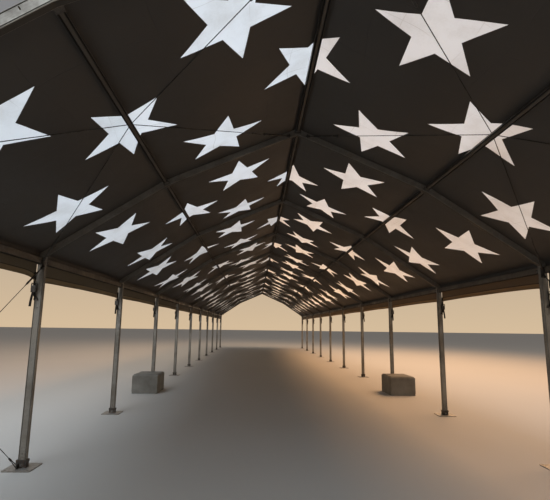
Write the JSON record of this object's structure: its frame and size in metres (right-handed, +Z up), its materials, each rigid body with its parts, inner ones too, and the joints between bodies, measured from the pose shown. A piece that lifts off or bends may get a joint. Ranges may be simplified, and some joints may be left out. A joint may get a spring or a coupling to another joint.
{
  "type": "open-sided frame marquee",
  "caption": "Long open-sided aluminium frame marquee with a kinked pitched roof, dark sheets with white stars, short valances and wire-rope bracing.",
  "frame": {"origin": "on the ground under the middle of the tent", "axes": "+X across the tent to the right as seen from its front end, +Y along the tent to the back, +Z up"},
  "size_m": [6.47, 30.3, 3.9609],
  "materials": {
    "post": "mill finish, scuffed and dusty",
    "frame": "mill finish, dusty",
    "purlin": "mill finish, dull",
    "cover": "matt coated sheet with white five-pointed stars",
    "rope": "galvanised wire rope, dull",
    "concrete": "cast concrete, chipped and dusty",
    "steel": "dark steel foot, worn",
    "strap": "woven webbing, faded"
  },
  "bodies": {
    "root": {"post_left_01": "post", "post_right_01": "post", "roof_arch_01": "frame", "post_left_02": "post", "post_right_02": "post", "roof_arch_02": "frame", "post_left_03": "post", "post_right_03": "post", "roof_arch_03": "frame", "post_left_04": "post", "post_right_04": "post", "roof_arch_04": "frame", "post_left_05": "post", "post_right_05": "post", "roof_arch_05": "frame", "post_left_06": "post", "post_right_06": "post", "roof_arch_06": "frame", "post_left_07": "post", "post_right_07": "post", "roof_arch_07": "frame", "post_left_08": "post", "post_right_08": "post", "roof_arch_08": "frame", "post_left_09": "post", "post_right_09": "post", "roof_arch_09": "frame", "post_left_10": "post", "post_right_10": "post", "roof_arch_10": "frame", "post_left_11": "post", "post_right_11": "post", "roof_arch_11": "frame", "ridge_beam": "purlin", "mid_purlin_left": "purlin", "mid_purlin_right": "purlin", "eave_beam_left": "purlin", "eave_beam_right": "purlin", "roof_cover_01": "cover", "roof_cover_02": "cover", "roof_cover_03": "cover", "roof_cover_04": "cover", "roof_cover_05": "cover", "roof_cover_06": "cover", "roof_cover_07": "cover", "roof_cover_08": "cover", "roof_cover_09": "cover", "roof_cover_10": "cover", "bracing_front_left": "rope", "bracing_front_right": "rope", "bracing_back_left": "rope", "bracing_back_right": "rope", "ballast_block_left": "concrete", "ballast_block_right": "concrete"}
  },
  "joints": []
}
